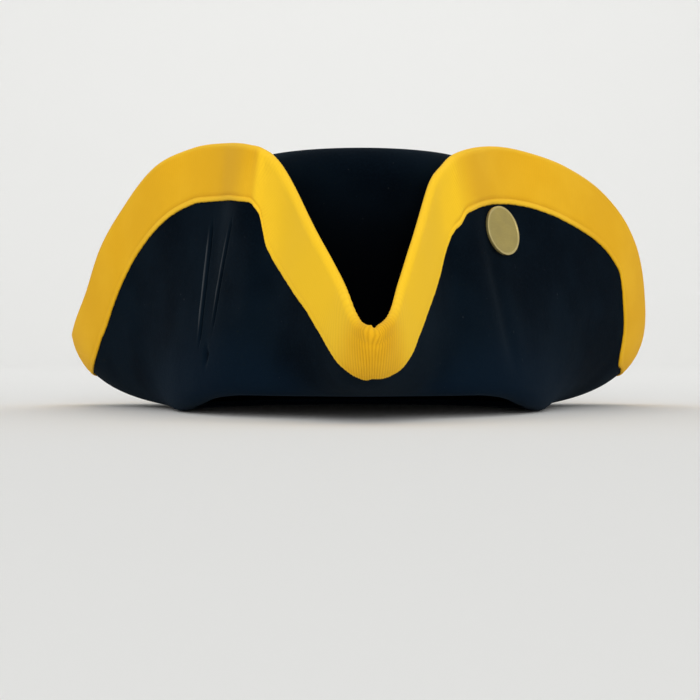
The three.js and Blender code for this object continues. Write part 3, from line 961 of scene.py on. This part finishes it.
@dataclass
class EdgeBand:
    """The ribbed band, folded over the brim's edge and stitched down near both of its own edges."""

    block: HatBlock
    width: float = 28 * MM
    thickness: float = 0.9 * MM
    rib_pitch: float = 1.34 * MM
    rib_height: float = 0.07 * MM
    gather_height: float = 0.13 * MM
    gather_spread: float = 0.95
    gather_tightness: float = 0.5
    gather_reach: float = 1.2
    # Painted shade in the rib valleys, and more where the ribs gather at the front point.
    rib_shade: float = 0.12
    gather_shade: float = 0.68
    # Where the front legs are painted lighter, and how that painted light fades in and out.
    leg_start: float = 0.7
    leg_rise: float = 0.9
    leg_end: float = 5.2
    soft_turn: float = 1.3
    sharp_turn: float = 0.35
    pinch_depth: float = 0.35 * MM
    upright_middle: float = 3.5 * MM
    upright_reach: float = 11 * MM
    upright_fade: float = 8 * MM
    upright_places: float = 3.0
    upright_start: float = 0.45
    wave_length: float = 6.5 * MM
    wave_height: float = 0.05 * MM
    wave_start: float = 0.9
    lip_groove: tuple[float, float] = (1 * MM, 3 * MM)
    piping_least: float = 0.25
    piping_start: tuple[float, float] = (4.5, 0.8)
    piping_end: tuple[float, float] = (8.7, 1.5)
    edge_flatness: float = 0.75
    levels: int = 15
    finish: BandFinish = BandFinish()

    def rib_columns(self) -> np.ndarray:
        """Finds where the ribs run: squarely across the band, and upright at the front point.

        Returns:
            The place of each column at each level, from the brim's edge to the band's inner edge. There
            are three columns for each rib.
        """
        fine = np.linspace(0, self.block.count, self.block.count * 50 + 1)
        shares = self.block.covered(fine, self.width)
        points = self.block.sheet(fine[:-1], (shares[:-1] * 0.5)[None])[0]
        chords = np.diff(points, axis=0, append=points[:1])
        steps = np.linalg.norm(chords, axis=1)
        steps += self.upright(fine[:-1], points[:, 0]) * (np.abs(chords[:, 0]) - steps)
        away = self.block.from_front(fine[:-1])
        steps *= 1 + self.gather_tightness * np.exp(-((away / self.gather_reach) ** 4))
        length = np.concatenate([[0], np.cumsum(steps)])
        ribs = round(length[-1] / self.rib_pitch)
        middle = np.interp(np.linspace(0, length[-1], ribs * 3 + 1)[:-1], length, fine)
        heights = np.linspace(0, 1, self.levels)
        start = self.levels // 2
        columns = [middle] * self.levels
        for direction in (1, -1):
            place = middle
            level = start
            while 0 <= level + direction < self.levels:
                step = heights[level + direction] - heights[level]
                place = self.step_across(place, heights[level], step, fine, shares)
                level += direction
                columns[level] = place
        return np.array(columns)

    def upright(self, place: np.ndarray, across: np.ndarray) -> np.ndarray:
        """Says how upright the ribs stand at each place, given how far to the side it lies."""
        aside = np.abs(across - self.upright_middle) - self.upright_reach
        near = abs(self.block.from_front(place)) < self.upright_places
        return (1 - smooth(aside / self.upright_fade)) * near

    def step_across(
        self, place: np.ndarray, height: float, step: float, fine: np.ndarray, shares: np.ndarray
    ) -> np.ndarray:
        """Follows every rib one level further across the band.

        Args:
            place: where the ribs are now.
            height: the level they are at, from 0 at the brim's edge to 1 at the band's inner edge.
            step: how far to go.
            fine: places at which the band's cover is known.
            shares: its cover there.

        Returns:
            Where the ribs are at the next level.
        """

        def at(aside: float, across: float) -> np.ndarray:
            there = place + aside
            share = np.interp(there % self.block.count, fine, shares)
            return self.block.sheet(there, (share * np.clip(height + across, 0, 1))[None])[0]

        near, least_pace, least_aside = 0.03, 9 * MM, 3 * MM
        around = (at(near, 0) - at(-near, 0)) / (2 * near)
        low, high = max(-near, -height), min(near, 1 - height)
        inwards = (at(0, high) - at(0, low)) / (high - low)
        pace = np.maximum(np.einsum("ij,ij->i", around, around), least_pace**2)
        square = -np.einsum("ij,ij->i", around, inwards) / pace
        upright = -inwards[:, 0] / np.maximum(around[:, 0], least_aside)
        share = self.upright(place, at(0, 0)[:, 0]) * smooth(height / self.upright_start)
        change = ((1 - share) * square + share * upright) * step
        return place + eased_round(change, 15, 5)

    def profile(self) -> list[BandRow]:
        """Gives the band's closed cross-section, as rows that run the whole way round the brim."""
        full = self.clear_height
        face = [
            BandRow(0.0, 0.25 * MM, ribs=0.3, lip_highlight=0.8),
            BandRow(0.4 * MM, 0.85 * full, ribs=0.8, lip_highlight=1.0),
            BandRow(1.5 * MM, 1.08 * full, lip_highlight=1.0),
            BandRow(2.3 * MM, 0.9 * full, lip_highlight=0.5),
            BandRow(2.9 * MM, 0.48 * full, ribs=0.8, shade=0.5),
            BandRow(3.6 * MM, 0.85 * full, shade=0.2),
            BandRow(4.8 * MM, full),
            BandRow(9 * MM, full),
            BandRow(14 * MM, full),
            BandRow(19 * MM, full),
            BandRow(21.6 * MM, full),
            BandRow(22.8 * MM, full, pinch=1.0),
            BandRow(24 * MM, full, pinch=0.1),
            BandRow(26 * MM, full),
            BandRow(27.6 * MM, full, lip_highlight=0.4),
        ]
        rows = list(face)
        half = self.block.felt / 2
        # The rows round the folded edge carry a painted highlight.
        for bend in (0.3, 0.5, 0.7):
            angle = math.pi * bend
            height = (half + full) * abs(math.cos(angle)) - half
            side = Side.OUTER if bend <= 0.5 else Side.INNER
            beyond = (half + full) * self.edge_flatness * math.sin(angle)
            rows.append(BandRow(self.width, height, side=side, beyond=beyond, lip_highlight=1.0))
        rows += [replace(row, side=Side.INNER) for row in reversed(face)]
        under = 0.1 * MM
        for side in (Side.INNER, Side.OUTER):
            reach = [0.6 * MM, self.width / 2, self.width]
            for across in reach if side is Side.INNER else reversed(reach):
                beyond = under if across == self.width else 0.0
                rows.append(BandRow(across, under, side=side, beyond=beyond, ribs=0.0))
        return rows

    @property
    def clear_height(self) -> float:
        """The height of the band's surface above the felt."""
        return self.block.clearance + self.thickness

    def build(self) -> bpy.types.Object:
        """Rolls a flat strip into the band and joins its ends and its long sides.

        Returns:
            The band.
        """
        columns = self.rib_columns()
        count = columns.shape[1]
        rows = self.profile()
        levels = np.linspace(0, 1, self.levels)
        places = []
        marks = {"painted_rib_shade": [], "lip_highlight": [], "painted_leg_light": []}
        for row in rows:
            level = 1 - row.across / self.width
            place = np.array([np.interp(level, levels, columns[:, n]) for n in range(count)])
            points, shades = self.lay_row(row, level, place)
            places.append(points)
            for name, values in shades.items():
                marks[name].append(values)
        bpy.ops.mesh.primitive_grid_add(x_subdivisions=count, y_subdivisions=len(rows), size=1)
        band = bpy.context.object
        band.name = band.data.name = "edge_band"
        strip = coordinates(band)
        column = np.rint((strip[:, 0] + 0.5) * count).astype(int) % count
        line = np.rint((strip[:, 1] + 0.5) * len(rows)).astype(int) % len(rows)
        move_vertices(band, np.array(places)[line, column] + np.array(self.block.middle))
        for name, values in marks.items():
            mark_points(band, name, np.array(values)[line, column])
        close_up(band, 1e-7)
        bpy.ops.object.shade_smooth()
        return band

    def lay_row(
        self, row: BandRow, level: float, place: np.ndarray
    ) -> tuple[np.ndarray, dict[str, np.ndarray]]:
        """Lays one row of the band along the brim.

        Args:
            row: the row of the cross-section.
            level: how far across the band it is, from 0 at the brim's edge to 1 at the band's inner edge.
            place: the places of its columns round the brim, three for each rib, its groove first.

        Returns:
            Its points, and how strongly the painted shade of the ribs and the groove, the painted highlight
            of the lip and the painted light on the front legs show there.
        """
        groove = np.tile([-1.0, 0.5, 0.5], len(place) // 3)
        cover = self.block.covered(place, self.width, row.side)
        uneven = self.wave(len(place)) / self.width * (level > self.wave_start)
        depth = (cover * (level + uneven))[None]
        point, facing = (found[0] for found in self.block.felt_middle(place, depth))
        from_front = self.block.from_front(place)
        away = abs(from_front)
        gather = np.exp(-((away / self.gather_spread) ** 4))
        piping = self.piping(away)

        relief = groove * row.ribs * (self.rib_height + self.gather_height * gather)
        relief -= self.pinch_depth * row.pinch * gather
        raised = row.height
        if row.shade or self.lip_groove[0] < row.across < self.lip_groove[1]:
            raised = self.clear_height + (row.height - self.clear_height) * piping
        lift = (self.block.felt / 2 + raised + relief) * row.side.value
        beyond = row.beyond + relief * (row.beyond > 0) / 2
        points = point + facing * lift[:, None] + self.past_edge(place) * beyond[:, None]

        # Painted shade in the rib valleys, most where the ribs gather at the front point; the groove beside
        # the lip is painted darker too.
        shaded_ribs = row.ribs * (self.rib_shade + self.gather_shade * gather) * (groove < 0)
        # Painted light on the front legs, fading out towards the flaps.
        rise = smooth((away - self.leg_start) / self.leg_rise)
        turn = np.where(from_front > 0, self.soft_turn, self.sharp_turn)
        # The lip's painted highlight is strongest on the flap tops.
        shades = {
            "painted_rib_shade": np.clip(1 - row.shade * piping - shaded_ribs, 0, 1),
            "lip_highlight": row.lip_highlight * piping,
            "painted_leg_light": rise * (1 - smooth((away - self.leg_end) / turn)),
        }
        return points, shades

    def piping(self, away: np.ndarray) -> np.ndarray:
        """Says how far the lip along the inner edge stands out, which is most on top of the two flaps."""
        begun, ended = (smooth((away - at) / over) for at, over in (self.piping_start, self.piping_end))
        return self.piping_least + (1 - self.piping_least) * begun * (1 - ended)

    def wave(self, count: int) -> np.ndarray:
        """Gives the slightly uneven line of the band's inner edge, in metres, for each column."""
        turn = np.arange(count) / count * math.tau
        waves = round(count * self.rib_pitch / 3 / self.wave_length)
        finer, broader = round(waves * 1.7), waves // 3
        uneven = np.sin(turn * waves) + 0.7 * np.sin(turn * finer + 1) + 0.6 * np.sin(turn * broader)
        return self.wave_height * uneven

    def past_edge(self, place: np.ndarray) -> np.ndarray:
        """Gives the direction in which the felt would run on past its edge."""
        handles = self.block.handles(place)
        return unit(handles[3] - handles[2])

    def dress(self, band: bpy.types.Object) -> None:
        """Gives the band its finish and its place in the hat."""
        band.data.materials.append(self.finish.material())
        settle(band, ("edge_binding",))


@dataclass
class BrassButton:
    """A flat disc with a thin raised rim, on a short shank."""

    diameter: float = 24 * MM
    thickness: float = 1.2 * MM
    rim_width: float = 0.9 * MM
    rim_height: float = 0.3 * MM
    shank_diameter: float = 6 * MM
    shank_length: float = 2.6 * MM
    # How far in the painted highlight on the rim fades out, as a share of the rim's width.
    rim_fade: float = 0.4
    dish: tuple[tuple[float, float], ...] = ((0.4, 0.2), (0.35, 0.1))
    edge_wear: float = 0.22 * MM
    sides: int = 96
    finish: BrassFinish = BrassFinish()

    def seat(self, solid: bpy.types.Object, inside: Vector) -> Matrix:
        """Works out where the solid button sits and which way it faces.

        Args:
            solid: the button's solid.
            inside: a point inside the hat, which the button faces away from.

        Returns:
            The matrix that carries a button made at the origin, facing +Z, to its seat.
        """
        points = coordinates(solid)
        centre = points.mean(0)
        spread, directions = np.linalg.eigh(np.cov((points - centre).T))
        axis = Vector(directions[:, int(np.argmin(spread))])
        if axis.dot(Vector(centre) - inside) < 0:
            axis.negate()
        foot = min(Vector(p).dot(axis) for p in points)
        flat = Vector(centre) - axis * Vector(centre).dot(axis)
        return Matrix.Translation(flat + axis * foot) @ axis.to_track_quat("Z", "Y").to_matrix().to_4x4()

    def build(self, solid: bpy.types.Object, inside: Vector) -> bpy.types.Object:
        """Turns a short cylinder into the button.

        Args:
            solid: the button's solid.
            inside: a point inside the hat.

        Returns:
            The button.
        """
        radius = self.diameter / 2
        depth = self.thickness + self.rim_height
        bpy.ops.mesh.primitive_cylinder_add(vertices=self.sides, radius=radius, depth=depth)
        button = bpy.context.object
        button.name = button.data.name = "brass_button"
        move_vertices(button, coordinates(button) + [0, 0, self.shank_length + depth / 2])
        self.pick_cap(button, 1)
        bpy.ops.mesh.inset(thickness=self.rim_width, use_even_offset=True)
        bpy.ops.mesh.inset(thickness=self.rim_height / 2, depth=-self.rim_height, use_even_offset=True)
        for inwards, sunk in self.dish:
            step, drop = radius * inwards, self.rim_height * sunk
            bpy.ops.mesh.inset(thickness=step, depth=drop, use_even_offset=True)
        bpy.ops.object.mode_set(mode="OBJECT")
        self.pick_cap(button, -1)
        bpy.ops.mesh.inset(thickness=radius - self.shank_diameter / 2, use_even_offset=True)
        bpy.ops.mesh.extrude_region_move(TRANSFORM_OT_translate={"value": (0, 0, -self.shank_length)})
        bpy.ops.object.mode_set(mode="OBJECT")
        soften = button.modifiers.new("worn edges", "BEVEL")
        soften.width = self.edge_wear
        soften.segments = 3
        soften.limit_method = "ANGLE"
        soften.angle_limit = math.radians(25)
        apply_all(button)
        close_up(button, 2e-6)
        bpy.ops.object.shade_smooth_by_angle(angle=math.radians(30))
        # Painted highlight on the top of the raised rim.
        points = coordinates(button)
        from_axis = np.hypot(points[:, 0], points[:, 1])
        inner = radius - (1 + self.rim_fade) * self.rim_width
        on_rim = smooth((from_axis - inner) / (self.rim_fade * self.rim_width))
        mark_points(button, "painted_rim_highlight", on_rim * (points[:, 2] > self.shank_length + self.thickness / 2))
        button.data.transform(self.seat(solid, inside))
        return button

    def pick_cap(self, button: bpy.types.Object, way: int) -> None:
        """Opens the button for editing with its large flat face on one side selected.

        Args:
            button: the button.
            way: 1 for the face on top, -1 for the one below.
        """
        faces = button.data.polygons
        edit_chosen(button, "FACE", [abs(f.normal.z - way) < 0.01 and len(f.vertices) > 8 for f in faces])

    def dress(self, button: bpy.types.Object) -> None:
        """Gives the button its finish and its place in the hat."""
        button.data.materials.append(self.finish.material())
        settle(button, ("button",))


@dataclass
class Studio:
    """The camera, the soft lights, and the paper that the hat stands on."""

    camera_place: tuple[float, float, float] = (-0.0052, -0.8651, 0.031)
    lens: float = 90.2
    sensor: float = 36.0
    farthest: float = 50.0
    paper_width: float = 9.0
    paper_front: float = -3.0
    paper_back: float = 4.0
    wall_height: float = 4.0
    sweep: float = 1.6
    sweep_segments: int = 24
    sky: tuple[float, float] = (0.82, 0.54)
    finish: PaperFinish = PaperFinish()

    def paper(self) -> None:
        """Rolls the paper out over the floor and up behind the hat in one sweep."""
        depth = self.paper_back - self.paper_front
        bpy.ops.mesh.primitive_plane_add(size=1, location=(0, (self.paper_back + self.paper_front) / 2, 0))
        paper = bpy.context.object
        paper.name = paper.data.name = "studio_paper"
        paper.scale = (self.paper_width, depth, 1)
        take(paper)
        bpy.ops.object.transform_apply(location=True, rotation=True, scale=True)
        corners = paper.data.vertices
        edit_chosen(paper, "EDGE", [all(corners[v].co.y > 0 for v in e.vertices) for e in paper.data.edges])
        bpy.ops.mesh.extrude_region_move(TRANSFORM_OT_translate={"value": (0, 0, self.wall_height)})
        bpy.ops.object.mode_set(mode="OBJECT")
        curve = paper.modifiers.new("sweep", "BEVEL")
        curve.width = self.sweep
        curve.segments = self.sweep_segments
        curve.limit_method = "ANGLE"
        apply_all(paper)
        bpy.ops.object.shade_smooth()
        paper.data.materials.append(self.finish.material())

    def light(
        self,
        name: str,
        place: tuple[float, float, float],
        size: float,
        power: float,
        target: tuple[float, float, float],
    ) -> None:
        """Hangs a soft square light.

        Args:
            name: the light's name.
            place: where it hangs.
            size: the length of its side.
            power: its power in watts.
            target: what it faces.
        """
        bpy.ops.object.light_add(type="AREA", location=place)
        lamp = bpy.context.object
        lamp.name = name
        lamp.data.size = size
        lamp.data.energy = power
        aim = Vector(target) - Vector(place)
        lamp.rotation_euler = aim.to_track_quat("-Z", "Y").to_euler()

    def air(self) -> None:
        """Lights the scene softly from all round, more from the level than from above."""
        world = bpy.data.worlds.new("studio_air")
        world.use_nodes = True
        nodes, links = world.node_tree.nodes, world.node_tree.links
        height = nodes.new("ShaderNodeSeparateXYZ")
        links.new(nodes.new("ShaderNodeTexCoord").outputs["Generated"], height.inputs["Vector"])
        fade = nodes.new("ShaderNodeMapRange")
        links.new(height.outputs["Z"], fade.inputs["Value"])
        fade.inputs["To Min"].default_value, fade.inputs["To Max"].default_value = self.sky
        nodes["Background"].inputs["Color"].default_value = (1, 1, 0.99, 1)
        links.new(fade.outputs["Result"], nodes["Background"].inputs["Strength"])
        bpy.context.scene.world = world

    def build(self) -> None:
        """Sets up the paper, the lights, the surrounding light and the camera."""
        self.paper()
        hat, backdrop = (0, 0, 0.06), (0, 4.2, 0.6)
        self.light("front_softbox", (0.12, -2.5, 0.35), size=1.2, power=33, target=hat)
        self.light("overhead_softbox", (0.3, 0.2, 2.6), size=2.4, power=3, target=hat)
        self.light("backdrop_light", (0, 1.2, 3.2), size=3.0, power=38, target=backdrop)
        self.air()
        bpy.context.scene.view_settings.view_transform = "Standard"
        bpy.ops.object.camera_add(location=self.camera_place, rotation=(math.pi / 2, 0, 0))
        camera = bpy.context.object
        camera.data.lens = self.lens
        camera.data.sensor_width = self.sensor
        camera.data.clip_end = self.farthest
        bpy.context.scene.camera = camera


def main() -> None:
    """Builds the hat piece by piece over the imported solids."""
    logging.basicConfig(level=logging.INFO, format="%(name)s %(message)s")
    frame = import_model()
    low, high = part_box("crown")
    middle = Vector(((low.x + high.x) / 2, (low.y + high.y) / 2, 0))
    block = HatBlock(middle=middle, reliefs=RELIEFS)

    Studio().build()
    felt = FeltBody(block)
    felt.dress(felt.build())
    band = EdgeBand(block)
    band.dress(band.build())
    button = BrassButton()
    button.dress(button.build(frame["nodes"]["button"], middle + Vector((0, 0, 0.07))))


if __name__ == "__main__":
    main()
